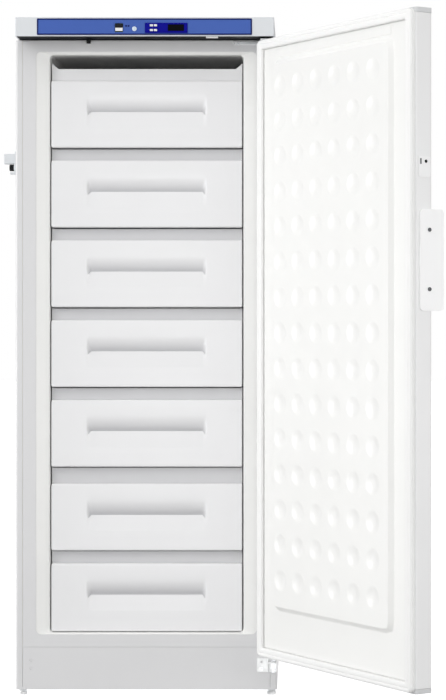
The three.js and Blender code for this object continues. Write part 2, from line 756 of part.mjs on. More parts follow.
function handleScrew(z) {
  const x = -DOOR_HALF - 4 - GAP;
  const at = [DOOR_INNER_Y - 32, z];
  const head = rodAlong("x", 4.2, x - 1.6, x, at, 16);
  const shank = rodAlong("x", 2, x - 0.5, -DOOR_HALF - GAP, at, 12);
  const slot = box(x - 3, x - 0.9, at[0] - 3, at[0] + 3, z - 0.5, z + 0.5);
  return cut(join(head, shank), slot);
}

function lockKeeper() {
  const x1 = -DOOR_HALF - GAP;
  const far = DOOR_INNER_Y - 36;
  const near = DOOR_INNER_Y - 7;
  const plate = across(roundedRect(far, near, 1150, 1192, 4), x1 - 2, x1);
  const eye = rodAlong("x", 3.6, x1 - 4, x1 + 1, [DOOR_INNER_Y - 25, 1182], 14);
  const slot = box(x1 - 4, x1 + 1, DOOR_INNER_Y - 14, DOOR_INNER_Y - 10, 1176, 1188);
  return cut(plate, eye, slot);
}

// ---- Assembly -----------------------------------------------------------------------
place(cabinet, "cabinet_shell", "steel", cabinetShell());
place(
  cabinet,
  "rear_panel",
  "steel",
  box(-298.7, 298.7, CABINET_DEPTH - SHEET, CABINET_DEPTH, BAY_TOP + GAP, BODY_TOP - SHEET - GAP),
);
place(cabinet, "cabinet_foam", "foam", cabinetFoam());
place(cabinet, "cabinet_liner", "plastic", cabinetLiner());
place(cabinet, "front_frame", "steel", frontFrame());
place(cabinet, "kick_plate", "steel", kickPlate());
place(cabinet, "base_tray", "zinc", baseTray());
place(cabinet, "compressor", "black", compressor());
place(cabinet, "condenser", "copper", condenser());
place(cabinet, "rear_grille", "steel", rearGrille());
place(cabinet, "power_inlet", "black", powerInlet());
place(cabinet, "evaporator", "zinc", evaporator());
const FOOT_X = 286.5;
const FOOT_Y = [30, 530];
["front", "rear"].forEach((end, k) => {
  place(cabinet, `foot_${end}_left`, "zinc", foot(-FOOT_X, FOOT_Y[k]));
  place(cabinet, `foot_${end}_right`, "zinc", foot(FOOT_X, FOOT_Y[k]));
});

place(cabinet, "control_housing", "plastic", controlHousing());
place(cabinet, "fascia", "blue", fascia());
place(cabinet, "display_module", "navy", displayModule());
place(cabinet, "display_window", "black", box(53, 89.4, CONSOLE_Y - 2.7, CONSOLE_Y - 1.7, 1516.7, 1531.3));
place(cabinet, "control_board", "green", box(-80, 110, CONSOLE_Y + 11.5, CONSOLE_Y + 13.1, 1506, 1542));
BUTTON_Z.forEach((z, row) => {
  BUTTON_X.forEach((x, column) => {
    place(cabinet, `menu_button_${row * BUTTON_X.length + column + 1}`, "white", menuButton(x, z));
  });
});
place(cabinet, "power_switch", "black", powerSwitch());
place(cabinet, "key_switch", "zinc", keySwitch());

place(cabinet, "hinge_bracket_lower", "zinc", lowerBracket());
place(cabinet, "hinge_bracket_upper", "zinc", upperBracket());
place(cabinet, "hinge_pin_lower", "zinc", hingePin(62, 109.5, 71, 83.7));
place(cabinet, "hinge_pin_upper", "zinc", hingePin(1485.5, 1500, 1499.7, 1501.7));
place(cabinet, "hinge_screw_lower", "zinc", screwFacing(264, 64, -3, 4.5));
place(cabinet, "door_sensor", "black", box(-136, -127, -8, -GAP, 1495.4, 1503));
place(cabinet, "lock_plate", "white", lockPlate());
place(cabinet, "lock_barrel", "black", lockBarrel());
place(cabinet, "lock_lever", "white", lockLever());

placeOnDoor("door_skin", "steel", doorSkin());
placeOnDoor("door_foam", "foam", doorFoam());
placeOnDoor("door_liner", "plastic", doorLiner());
placeOnDoor("door_gasket", "white", doorGasket());
placeOnDoor("door_cap_bottom", "grey", doorCap(DOOR_BOTTOM));
placeOnDoor("door_cap_top", "grey", doorCap(DOOR_TOP - CAP_HEIGHT));
placeOnDoor("door_handle", "white", doorHandle());
placeOnDoor("handle_screw_lower", "zinc", handleScrew(922));
placeOnDoor("handle_screw_upper", "zinc", handleScrew(1043));
placeOnDoor("lock_keeper", "white", lockKeeper());

for (let i = 0; i < DRAWERS; i++) {
  place(cabinet, `drawer_tub_${i + 1}`, "white", drawerTub(i));
  place(cabinet, `drawer_front_${i + 1}`, "white", drawerFront(i));
}

export default freezer;
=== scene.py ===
import json
import math

import bmesh
import bpy
from mathutils import Matrix, Vector

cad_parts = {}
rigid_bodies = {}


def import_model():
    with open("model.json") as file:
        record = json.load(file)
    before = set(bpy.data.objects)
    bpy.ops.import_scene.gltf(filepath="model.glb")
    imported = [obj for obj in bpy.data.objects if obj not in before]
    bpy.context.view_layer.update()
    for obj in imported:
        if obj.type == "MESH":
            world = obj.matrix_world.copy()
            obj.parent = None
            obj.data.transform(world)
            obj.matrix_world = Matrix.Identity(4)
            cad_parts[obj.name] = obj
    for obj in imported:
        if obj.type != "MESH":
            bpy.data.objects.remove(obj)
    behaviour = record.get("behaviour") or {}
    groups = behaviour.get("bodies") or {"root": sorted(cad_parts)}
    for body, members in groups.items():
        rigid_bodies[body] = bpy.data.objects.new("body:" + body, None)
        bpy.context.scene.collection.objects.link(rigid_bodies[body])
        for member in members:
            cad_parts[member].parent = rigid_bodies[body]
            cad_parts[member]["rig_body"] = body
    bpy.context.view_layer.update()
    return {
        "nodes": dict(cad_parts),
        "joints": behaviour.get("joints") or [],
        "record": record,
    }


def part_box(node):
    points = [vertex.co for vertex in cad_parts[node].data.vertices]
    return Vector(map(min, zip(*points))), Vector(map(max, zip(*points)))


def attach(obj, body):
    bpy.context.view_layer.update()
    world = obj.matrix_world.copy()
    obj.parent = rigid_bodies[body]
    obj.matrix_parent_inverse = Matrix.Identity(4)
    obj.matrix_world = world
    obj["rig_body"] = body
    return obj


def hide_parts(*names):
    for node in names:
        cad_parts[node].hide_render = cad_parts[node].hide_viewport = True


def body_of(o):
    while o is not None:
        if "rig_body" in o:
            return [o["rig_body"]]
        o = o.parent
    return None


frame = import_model()
nodes = frame["nodes"]
SLOT = {part["node"]: part["material_slot"] for part in frame["record"]["subparts"]}

# ---- Places ---------------------------------------------------------------------------
face_lo, face_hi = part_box("front_frame")
ORIGIN = Vector(((face_lo.x + face_hi.x) / 2, face_lo.y, 0))
CABINET = Matrix.Translation(ORIGIN) @ Matrix.Scale(0.001, 4)
hinge = next(j for j in frame["joints"] if j["name"] == "door_hinge")
PIN = Vector((hinge["pos_m"][0], hinge["pos_m"][1], 0))
OPEN = -math.radians(hinge["range_deg"][0])
TURN = Matrix.Translation(PIN) @ Matrix.Rotation(OPEN, 4, "Z") @ Matrix.Translation(-PIN)
DOOR = TURN @ CABINET

# ---- Camera ---------------------------------------------------------------------------
# It looks level along +y, and its picture is shifted rather than turned.
CAMERA_PLACE = (350, -4800, 837)
SENSOR_WIDTH = 36
FOCAL_LENGTH = 107.7
SHIFT_X, SHIFT_Y = -0.1086, -0.0271
FAR_CLIP = 100

cam_data = bpy.data.cameras.new("camera")
cam_data.sensor_width = SENSOR_WIDTH
cam_data.lens = FOCAL_LENGTH
cam_data.shift_x = SHIFT_X
cam_data.shift_y = SHIFT_Y
cam_data.clip_end = FAR_CLIP
camera = bpy.data.objects.new("camera", cam_data)
bpy.context.scene.collection.objects.link(camera)
camera.location = CABINET @ Vector(CAMERA_PLACE)
camera.rotation_euler = (math.radians(90), 0, 0)
bpy.context.scene.camera = camera

# ---- Materials ------------------------------------------------------------------------
PATCH_SCALE = 7  # size of the uneven patches of colour, as waves per metre
GLOSS_SCALE = 23  # the same for the uneven gloss
GLOSS_SPREAD = 0.1  # the roughness varies by this much of itself either way
RELIEF = 0.3  # height of a relief, as a part of its wave length


def linear(code):
    """A hex colour as linear red, green, blue and alpha."""
    parts = [int(code[i : i + 2], 16) / 255 for i in (0, 2, 4)]
    return [c / 12.92 if c <= 0.04045 else ((c + 0.055) / 1.055) ** 2.4 for c in parts] + [1.0]


def surface(
    name, code, rough, metal=0.0, vary=0.02, fine=(900, 0.05), broad=(3, 0.0), deep=None, **sockets
):
    """A Principled surface with a little uneven colour, and a fine and a broad relief, each
    given as waves per metre and strength. A second, darker colour is painted shade: it takes
    over where the mesh's own "depth" attribute is 1."""
    material = bpy.data.materials.new(name)
    material.use_nodes = True
    tree = material.node_tree
    shader = tree.nodes["Principled BSDF"]
    shader.inputs["Metallic"].default_value = metal
    for key, value in sockets.items():
        shader.inputs[key.replace("_", " ")].default_value = value
    coords = tree.nodes.new("ShaderNodeTexCoord")

    def noise(scale, detail=3.0):
        node = tree.nodes.new("ShaderNodeTexNoise")
        node.inputs["Scale"].default_value = scale
        node.inputs["Detail"].default_value = detail
        tree.links.new(coords.outputs["Object"], node.inputs["Vector"])
        return node.outputs["Fac"]

    def spread(source, low, high):
        node = tree.nodes.new("ShaderNodeMapRange")
        node.inputs["From Min"].default_value = 0.3
        node.inputs["From Max"].default_value = 0.7
        node.inputs["To Min"].default_value = low
        node.inputs["To Max"].default_value = high
        tree.links.new(source, node.inputs["Value"])
        return node.outputs["Result"]

    base = linear(code)
    mix = tree.nodes.new("ShaderNodeMix")
    mix.data_type = "RGBA"
    mix.inputs["A"].default_value = [c * (1 - vary) for c in base[:3]] + [1]
    mix.inputs["B"].default_value = [min(1, c * (1 + vary)) for c in base[:3]] + [1]
    tree.links.new(spread(noise(PATCH_SCALE), 0, 1), mix.inputs["Factor"])
    colour = mix.outputs["Result"]
    # Painted shade: a darker colour mixed in by the mesh's "depth" attribute, for the shade in the
    # drawer grip's scoop.
    if deep:
        shade_amount = tree.nodes.new("ShaderNodeAttribute")
        shade_amount.attribute_name = "depth"
        darker = tree.nodes.new("ShaderNodeMix")
        darker.data_type = "RGBA"
        darker.inputs["B"].default_value = linear(deep)
        tree.links.new(shade_amount.outputs["Fac"], darker.inputs["Factor"])
        tree.links.new(colour, darker.inputs["A"])
        colour = darker.outputs["Result"]
    tree.links.new(colour, shader.inputs["Base Color"])
    gloss = spread(noise(GLOSS_SCALE), rough * (1 - GLOSS_SPREAD), rough * (1 + GLOSS_SPREAD))
    tree.links.new(gloss, shader.inputs["Roughness"])
    normal = None
    for scale, strength in (broad, fine):
        if not strength:
            continue
        bump = tree.nodes.new("ShaderNodeBump")
        bump.inputs["Strength"].default_value = strength
        bump.inputs["Distance"].default_value = RELIEF / scale
        tree.links.new(noise(scale, 2.0), bump.inputs["Height"])
        if normal:
            tree.links.new(normal, bump.inputs["Normal"])
        normal = bump.outputs["Normal"]
    if normal:
        tree.links.new(normal, shader.inputs["Normal"])
    return material


# What the smooth white pieces share: sheet steel under paint, formed sheet plastic, and
# moulded plastic.
PAINTED = {"vary": 0.008, "fine": (60, 0.01), "broad": (4, 0.03)}
FORMED = {"vary": 0.006, "fine": (50, 0.008)}
MOULDED = {"vary": 0.008, "fine": (90, 0.015)}
TUB = {"vary": 0.008, "fine": (50, 0.01), "broad": (5, 0.03)}
MATT = {"Specular_IOR_Level": 0.15}

# The look of each material slot of the record: colour, roughness and metal first.
LOOK_SETTINGS = {
    "painted_steel": (("e1e1e2", 0.36), PAINTED),
    "liner_plastic": (("f4f4f2", 0.33), {**FORMED, "broad": (7, 0.03)}),
    "white_plastic": (("f1f1f1", 0.35), MOULDED),
    # The drawer plastic's second colour is painted shade in the grip's scoop.
    "drawer_plastic": (("f3f3f4", 0.34), {**FORMED, "broad": (5, 0.03), "deep": "e0e0e2"}),
    "insulation_foam": (("e3ddc8", 0.9), {"vary": 0.08, "fine": (500, 0.6), "broad": (40, 0.4)}),
    "gasket_rubber": (("f4f4f3", 0.5), {"vary": 0.008, "fine": (80, 0.02), "broad": (12, 0.03)}),
    "grey_plastic": (("d2d3d4", 0.5), {"vary": 0.03, "fine": (1500, 0.15)}),
    "zinc_steel": (("d2d4d6", 0.28, 1.0), {"vary": 0.05, "fine": (1800, 0.1), "broad": (60, 0.1)}),
    "evaporator_metal": (("d9dcdf", 0.4, 0.9), {"vary": 0.03, "fine": (900, 0.08)}),
    "black_paint": (("1b1c1e", 0.3), {"vary": 0.1, "fine": (700, 0.1), "broad": (30, 0.05)}),
    "copper_tube": (("b8764e", 0.3, 1.0), {"vary": 0.1, "fine": (600, 0.08)}),
    "black_plastic": (("0e0f11", 0.5), {"vary": 0.06, "fine": (1600, 0.12), **MATT}),
    "blue_plastic": (("4664b2", 0.45), {"vary": 0.03, "fine": (1300, 0.06), **MATT}),
    "navy_plastic": (
        ("07078c", 0.4),
        {"vary": 0.04, "fine": (1300, 0.04), "Specular_IOR_Level": 0.08},
    ),
    "circuit_board": (("2c6b3c", 0.5), {"vary": 0.15, "fine": (400, 0.3)}),
}
LOOKS = {
    slot: surface(slot, *values, **options) for slot, (values, options) in LOOK_SETTINGS.items()
}

# Pieces that differ a little from the rest of their slot.
NAVY_EDGE = surface(
    "navy_edge", "121c5a", 0.45, vary=0.05, fine=(1300, 0.05), Specular_IOR_Level=0.1
)
DARK_GREY = surface("dark_grey", "4c4e52", 0.45, vary=0.05, fine=(1300, 0.1))
WINDOW_BLACK = surface(
    "window_black", "020308", 0.5, vary=0.05, fine=(900, 0.01), Specular_IOR_Level=0.05
)
# Painted shade: the drawer tubs sit back under the front above, so they are darker copies of the
# drawer plastic, and the top tub gets less of it.
TUB_PAINTED_SHADE = surface("tub_painted_shade", "d2d2d4", 0.35, **TUB)
TOP_TUB_PAINTED_SHADE = surface("top_tub_painted_shade", "e8e8e9", 0.35, **TUB)
CONSOLE_GREY = surface("console_grey", "dee1e4", 0.4, **MOULDED)
# Painted light: lighter copies of the painted steel and the white plastic, so the door's free edge
# and the handle come out brighter.
DOOR_PAINTED_LIGHT = surface("door_painted_light", "ebebeb", 0.36, **PAINTED)
HANDLE_PAINTED_LIGHT = surface("handle_painted_light", "fafafa", 0.4, **MOULDED)
PALE_BLUE = surface("pale_blue", "dce8f4", 0.3, vary=0.02, fine=(900, 0.02))
BRIGHT_ZINC = surface(
    "bright_zinc", "f0f1f1", 0.32, 0.25, vary=0.06, fine=(1500, 0.08), broad=(80, 0.08)
)


# ---- Mesh makers ----------------------------------------------------------------------
def piece(name, bm, place, body, slot, replaced=(), material=None, angle=35):
    """Turns a bmesh into a named object that rides on a body. Edges over angle stay sharp."""
    bm.transform(place)
    bmesh.ops.recalc_face_normals(bm, faces=bm.faces)
    mesh = bpy.data.meshes.new(name)
    bm.to_mesh(mesh)
    bm.free()
    mesh.polygons.foreach_set("use_smooth", [True] * len(mesh.polygons))
    mesh.set_sharp_from_angle(angle=math.radians(angle))
    mesh.materials.append(material or LOOKS[slot])
    obj = bpy.data.objects.new(name, mesh)
    bpy.context.scene.collection.objects.link(obj)
    even = obj.modifiers.new("even_normals", "WEIGHTED_NORMAL")
    even.keep_sharp = True
    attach(obj, body)
    if replaced:
        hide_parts(*replaced)


SAME_POINT = 2e-5  # metres
FLAT_WITHIN = 0.6  # degrees between facets that are one flat face
EDGE_FROM = 32  # degrees between faces that meet in an edge to round
EDGE_SEGMENTS = 3


def rounded(node, width, material=None):
    """A carried-over CAD shape with its flat facets merged and its edges rounded."""
    bm = bmesh.new()
    bm.from_mesh(nodes[node].data)
    bmesh.ops.remove_doubles(bm, verts=bm.verts, dist=SAME_POINT)
    flat = math.radians(FLAT_WITHIN)
    bmesh.ops.dissolve_limit(bm, angle_limit=flat, verts=bm.verts, edges=bm.edges)
    bmesh.ops.recalc_face_normals(bm, faces=bm.faces)
    least = math.radians(EDGE_FROM)
    sharp = [e for e in bm.edges if e.is_manifold and e.calc_face_angle(0) > least]
    bmesh.ops.bevel(
        bm,
        geom=sharp,
        offset=width / 1000,
        offset_type="OFFSET",
        segments=EDGE_SEGMENTS,
        profile=0.5,
        affect="EDGES",
        clamp_overlap=True,
        loop_slide=True,
    )
    body = body_of(nodes[node])[0]
    piece(node + "_look", bm, Matrix.Identity(4), body, SLOT[node], [node], material)


def ring(half, z0, z1, r, y, steps=6):
    """A rounded rectangle in the x-z plane, centred on x = 0."""
    corners = [
        (half - r, z0 + r, -90),
        (half - r, z1 - r, 0),
        (r - half, z1 - r, 90),
        (r - half, z0 + r, 180),
    ]
    points = []
    for cx, cz, start in corners:
        for k in range(steps + 1):
            a = math.radians(start + 90 * k / steps)
            points.append((cx + r * math.cos(a), y, cz + r * math.sin(a)))
    return points


def loft(bm, loops, closed=False):
    """Skins a row of outlines: capped at both ends, or closed into a ring."""
    rows = [[bm.verts.new(p) for p in loop] for loop in loops]
    pairs = list(zip(rows, rows[1:]))
    if closed:
        pairs.append((rows[-1], rows[0]))
    for a, b in pairs:
        for i in range(len(a)):
            j = (i + 1) % len(a)
            bm.faces.new((a[i], a[j], b[j], b[i]))
    if not closed:
        bm.faces.new(rows[0])
        bm.faces.new(list(reversed(rows[-1])))
    return rows


def slab(bm, x0, x1, y0, y1, z0, z1, r):
    """A closed block whose y1 edges are rounded."""
    loops = [
        [(x0, y0, z0), (x1, y0, z0), (x1, y0, z1), (x0, y0, z1)],
        [(x0, y1 - r, z0), (x1, y1 - r, z0), (x1, y1 - r, z1), (x0, y1 - r, z1)],
    ]
    for t in (0.3, 0.7, 1.0):
        i = r * (1 - math.cos(t * math.pi / 2))
        y = y1 - r * (1 - math.sin(t * math.pi / 2))
        a0, a1, b0, b1 = x0 + i, x1 - i, z0 + i, z1 - i
        loops.append([(a0, y, b0), (a1, y, b0), (a1, y, b1), (a0, y, b1)])
    loft(bm, loops)


def block(name, body, slot, x0, x1, y0, y1, z0, z1, material=None, r=0.3):
    """A small block of the cabinet whose front (-y) edges are rounded."""
    bm = bmesh.new()
    slab(bm, x0, x1, -y1, -y0, z0, z1, r)
    for v in bm.verts:
        v.co.y = -v.co.y
    piece(name, bm, CABINET, body, slot, material=material)


# ---- Cabinet liner --------------------------------------------------------------------
LINER_HALF = 222
LINER_LOW, LINER_TOP, LINER_BACK = 145, 1470, 445
LINER_CORNER, LINER_OUTER_CORNER = 9, 11
LINER_WALL = 2.4
# Over the compressor bay the floor of the liner steps up.
BAY_FRONT, BAY_TOP = 262, 240
# The mouth from its outer edge inwards: half width and depth.
MOUTH = [
    (254, 1.4), (249, 2.4), (240, 4.6), (231, 6.7), (226, 8.0), (223.4, 9.4), (222.3, 11.6),
    (222, 15),
]
MOUTH_SPREAD = 32  # from the liner's half width to the mouth's outer edge
# The flange behind the mouth's outer edge.
FLANGE_HALF, FLANGE_LOW, FLANGE_TOP, FLANGE_CORNER = 256.8, 139, 1481, 13
FLANGE_FRONT, FLANGE_BACK = 1.4, 11.2
STEP = 0.1  # the run of a face that is all but square to the one before it


def cabinet_liner():
    def mouth(half, y):
        t = (half - LINER_HALF) / MOUTH_SPREAD
        return ring(half, LINER_LOW - 3.5 * t, LINER_TOP + 8 * t, LINER_CORNER + 3 * t, y)

    def inside(low, y):
        return ring(LINER_HALF, low, LINER_TOP, LINER_CORNER, y)

    def outside(low, y):
        top = LINER_TOP + LINER_WALL
        return ring(LINER_HALF + LINER_WALL, low - LINER_WALL, top, LINER_OUTER_CORNER, y)

    def flange(y):
        return ring(FLANGE_HALF, FLANGE_LOW, FLANGE_TOP, FLANGE_CORNER, y)

    bay_back = BAY_FRONT + LINER_WALL
    loops = [inside(BAY_TOP, LINER_BACK), inside(BAY_TOP, BAY_FRONT + STEP)]
    loops += [inside(LINER_LOW, BAY_FRONT)]
    loops += [mouth(half, y) for half, y in reversed(MOUTH)]
    loops += [flange(FLANGE_FRONT), flange(FLANGE_BACK)]
    loops += [outside(LINER_LOW, FLANGE_BACK + STEP), outside(LINER_LOW, bay_back - STEP)]
    loops += [outside(BAY_TOP, bay_back), outside(BAY_TOP, LINER_BACK + LINER_WALL)]
    bm = bmesh.new()
    loft(bm, loops)
    piece("cabinet_liner_look", bm, CABINET, "cabinet", "liner_plastic", ["cabinet_liner"])


# ---- Drawer fronts --------------------------------------------------------------------
FRONT_FACE, FRONT_BACK = 10.0, 27.7
FRONT_EDGE = 4.0  # radius of the front's outer edges
# The grip, from the top down: a scoop over an upright lip with a finger space behind it. Each
# point is a depth and how far it lies below the drawer front's top.
GRIP = [
    (10.0, 20.0), (10.1, 26.0), (10.4, 32.0), (11.0, 38.0), (11.9, 43.0), (13.1, 47.0),
    (14.6, 51.0), (16.4, 55.0), (18.4, 59.0), (20.5, 63.0), (22.7, 67.0), (24.4, 71.0),
    (25.2, 76.0), (25.2, 84.0), (23.4, 88.6), (20.8, 89.8), (18.4, 88.6), (17.2, 84.0),
    (17.1, 77.0), (16.8, 74.0), (15.9, 72.4), (15.0, 72.0), (14.2, 72.6), (13.8, 74.5),
    (13.4, 79.0), (12.6, 87.0), (11.6, 96.0), (10.8, 103.0), (10.2, 107.0), (10.0, 110.0),
]
SCOOP_POINTS = 17  # how many of them lie behind the lip
POINTS_ABOVE_GRIP = 8  # how many points of the front's outline come before them
GRIP_REACH, GRIP_BLEND, BLEND_STEPS = 139.5, 13, 10  # half width, and the length of each end
SHADE_FROM, SHADE_OVER = 1, 13  # the scoop's painted shade sets in this far behind the face and is full this much further in
ROUND = (0, 0.4, 0.8, 1.2, math.pi / 2)  # the turns that round an edge


def drawer_front(number):
    name = f"drawer_front_{number}"
    lo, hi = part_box(name)
    top, height, half = hi.z * 1000, (hi.z - lo.z) * 1000, (hi.x - lo.x) * 500
    r = FRONT_EDGE
    # Where each grip point lies on a front without a grip, in proportion along the profile.
    along = [0]
    for a, b in zip(GRIP, GRIP[1:]):
        along.append(along[-1] + math.hypot(b[0] - a[0], b[1] - a[1]))
    start, run = GRIP[0][1], GRIP[-1][1] - GRIP[0][1]
    flat = [start + run * d / along[-1] for d in along]

    def section(x, grip, inset):
        face = FRONT_FACE + inset
        points = [(FRONT_BACK, top - inset), (20, top - inset)]
        for t in ROUND:
            points.append((face + r * (1 - math.sin(t)), top - inset - r * (1 - math.cos(t))))
        points.append((face, top - 15))
        for (y, down), level in zip(GRIP, flat):
            z = top - (down * grip + level * (1 - grip))
            points.append((face + (y - FRONT_FACE) * grip, z))
        points += [(face, top - 122), (face, top - 138)]
        bottom = top - height + inset
        for t in reversed(ROUND):
            points.append((face + r * (1 - math.sin(t)), bottom + r * (1 - math.cos(t))))
        points += [(20, bottom), (FRONT_BACK, bottom)]
        return [(x, y, z) for y, z in points]

    # Each station across the front: x, how much of the grip, and how far the edge is set in.
    stations = [(-half + r * (1 - math.cos(a)), 0, r * (1 - math.sin(a))) for a in ROUND]
    stations += [(-190, 0, 0), (-160, 0, 0), (-146, 0, 0)]
    for k in range(BLEND_STEPS + 1):
        t = k / BLEND_STEPS
        stations.append((-GRIP_REACH + GRIP_BLEND * t, t * t * (3 - 2 * t), 0))
    stations += [(-115 + 23 * k, 1, 0) for k in range(6)]
    stations += [(-x, grip, inset) for x, grip, inset in reversed(stations)]
    bm = bmesh.new()
    # The "depth" layer weights the painted shade of the grip's scoop: none at the face, full
    # further in.
    depth = bm.verts.layers.float.new("depth")
    rows = loft(bm, [section(*station) for station in stations])
    for row in rows:
        for v in row[POINTS_ABOVE_GRIP : POINTS_ABOVE_GRIP + SCOOP_POINTS]:
            v[depth] = max(0, min(1, (v.co.y - FRONT_FACE - SHADE_FROM) / SHADE_OVER))
    piece(name + "_look", bm, CABINET, f"drawer_{number}", "drawer_plastic", [name])


# ---- Door liner and gasket ------------------------------------------------------------
# A dimple from its centre out: radius and depth.
DIMPLE = [
    (4, 2.85), (8, 2.7), (12, 2.25), (16, 1.5), (19.5, 0.7), (22, 0.28), (24, 0.08), (26, 0.0),
]
DIMPLE_DEPTH = 2.9
DIMPLE_SIDES = 32
DIMPLE_COLUMNS, FIRST_COLUMN, COLUMN_PITCH = 6, 191.5, 71.5
DIMPLE_ROWS, FIRST_ROW, ROW_PITCH = 15, 1382, 78.4
PANEL_HALF, PANEL_LOW, PANEL_TOP, PANEL_CORNER = 219, 225, 1431, 9
PANEL_FACE = 2.0  # y of the raised panel's flat face
# The panel's edge from the face down to the flange: reach outwards and height.
PANEL_BEVEL = [
    (1.0, 1.85), (2.0, 1.3), (3.0, 0.4), (9.2, -5.9), (10.2, -6.8), (11.6, -7.6), (13.5, -8),
]
# The flange outside the panel, and its rolled edge.
LINER_FLANGE = (272, 126, 1469)
FLANGE_EDGE = [(1.3, -8.3), (1.5, -9), (1.5, -11)]
# The plain raised bar over the panel: x, y and z from and to, and its edge radius.
LINER_BAR = (-219, 219, -8.6, -6.6, 1447.5, 1467.5, 1.4)


def dimpled_field(bm, cx, cz, x0, x1, z0, z1):
    """One field of the raised panel: a round dimple whose rim spreads to a rectangle."""
    angles = [2 * math.pi * k / DIMPLE_SIDES for k in range(DIMPLE_SIDES)]
    turns = [(math.cos(a), math.sin(a)) for a in angles]
    loops = []
    for r, depth in DIMPLE:
        y = PANEL_FACE - depth
        loops.append([bm.verts.new((cx + r * c, y, cz + r * s)) for c, s in turns])
    edge = []
    for c, s in turns:
        u = max(abs(c), abs(s))
        reach_x, reach_z = (x1 - cx if c > 0 else cx - x0), (z1 - cz if s > 0 else cz - z0)
        edge.append(bm.verts.new((cx + reach_x * c / u, PANEL_FACE, cz + reach_z * s / u)))
    loops.append(edge)
    centre = bm.verts.new((cx, PANEL_FACE - DIMPLE_DEPTH, cz))
    for k in range(DIMPLE_SIDES):
        j = (k + 1) % DIMPLE_SIDES
        bm.faces.new((centre, loops[0][k], loops[0][j]))
        for a, b in zip(loops, loops[1:]):
            bm.faces.new((a[k], b[k], b[j], a[j]))


def move_outline(verts, old, new, reach, y):
    """Moves an outline that lies round one rectangle to lie round another, at a reach from
    it. A rectangle is a half width, a bottom and a top."""
    for v in verts:
        cx = max(-old[0], min(old[0], v.co.x))
        cz = max(old[1], min(old[2], v.co.z))
        way = Vector((v.co.x - cx, 0, v.co.z - cz)).normalized() * reach
        up = (cz - old[1]) / (old[2] - old[1])
        v.co = (cx / old[0] * new[0] + way.x, y, new[1] + up * (new[2] - new[1]) + way.z)


def door_liner():
    columns = [FIRST_COLUMN - COLUMN_PITCH * k for k in range(DIMPLE_COLUMNS)]
    rows = [FIRST_ROW - ROW_PITCH * k for k in range(DIMPLE_ROWS)]
    xs = [PANEL_HALF] + [(a + b) / 2 for a, b in zip(columns, columns[1:])] + [-PANEL_HALF]
    zs = [PANEL_TOP] + [(a + b) / 2 for a, b in zip(rows, rows[1:])] + [PANEL_LOW]
    bm = bmesh.new()
    for i, cx in enumerate(columns):
        for j, cz in enumerate(rows):
            dimpled_field(bm, cx, cz, xs[i + 1], xs[i], zs[j + 1], zs[j])
    bmesh.ops.remove_doubles(bm, verts=bm.verts, dist=0.02)

    corner, flange = PANEL_CORNER, LINER_FLANGE
    field = (PANEL_HALF - corner, PANEL_LOW + corner, PANEL_TOP - corner)
    edges = [e for e in bm.edges if e.is_boundary]
    move_outline({v for e in edges for v in e.verts}, field, field, corner, PANEL_FACE)
    steps = [(field, field, corner + reach, y) for reach, y in PANEL_BEVEL]
    steps += [(field, flange, 0.7, -8)]
    steps += [(flange, flange, reach, y) for reach, y in FLANGE_EDGE]
    for step in steps:
        made = bmesh.ops.extrude_edge_only(bm, edges=edges)["geom"]
        edges = [g for g in made if isinstance(g, bmesh.types.BMEdge) and g.is_boundary]
        move_outline([g for g in made if isinstance(g, bmesh.types.BMVert)], *step)
    bmesh.ops.contextual_create(bm, geom=edges)
    slab(bm, *LINER_BAR)
    piece("door_liner_look", bm, DOOR, "door", "liner_plastic", ["door_liner"], angle=50)


GASKET_HALF, GASKET_LOW, GASKET_TOP, GASKET_CORNER = 296, 102, 1493, 12
LEAST_CORNER = 0.8
# Inset from the outer edge, and height: a magnet bead between two bellows folds.
GASKET_PROFILE = [
    (0.2, -11.6), (0.1, -10.2), (1.9, -9.4), (2.1, -8.4), (0.5, -7.5), (0.3, -4.4), (1.4, -1.8),
    (3.6, -0.6), (6.5, -0.35), (8.6, -0.9), (9.6, -1.9), (10.6, -0.9), (12.6, -0.35),
    (16.6, -0.35), (19.4, -0.8), (21.0, -2.2), (21.6, -4.6), (21.3, -7.5), (19.8, -8.4),
    (20.0, -9.4), (21.8, -10.2), (21.8, -11.6),
]


def door_gasket():
    loops = []
    for i, y in GASKET_PROFILE:
        corner = max(GASKET_CORNER - i, LEAST_CORNER)
        loops.append(ring(GASKET_HALF - i, GASKET_LOW + i, GASKET_TOP - i, corner, y, 4))
    bm = bmesh.new()
    loft(bm, loops, closed=True)
    piece("door_gasket_look", bm, DOOR, "door", "gasket_rubber", ["door_gasket"], angle=60)


# ---- Small details --------------------------------------------------------------------
FASCIA_FACE = -57.0  # the front of the blue fascia
BORDER_FACE = -57.5
# The dark border printed round the fascia: half width, bottom, top and corner of each edge.
BORDER_OUTER = (243.6, 1507.6, 1545.1, 2.2)
BORDER_INNER = (240.4, 1510.8, 1541.9, 0.6)
# x, y and z from and to.
LOWER_ROCKER = (-66.2, -49.6, -59.3, -57.4, 1516.4, 1523.6)
# A thin black sheet under the console's overhang: painted shade for the dark gap beneath it.
UNDERSIDE_SHADE_SHEET = (-290, 290, -52.6, 4, 1505.1, 1505.8)
CONSOLE_TAB = (139, 166, -52, -44, 1501.8, 1505.1)
TICKS_FROM, TICK_WIDTH, TICK_BACK = (-43.5, -38.0), 4, -57.1
TICK_LOW, TICK_TOP = 1526, 1530


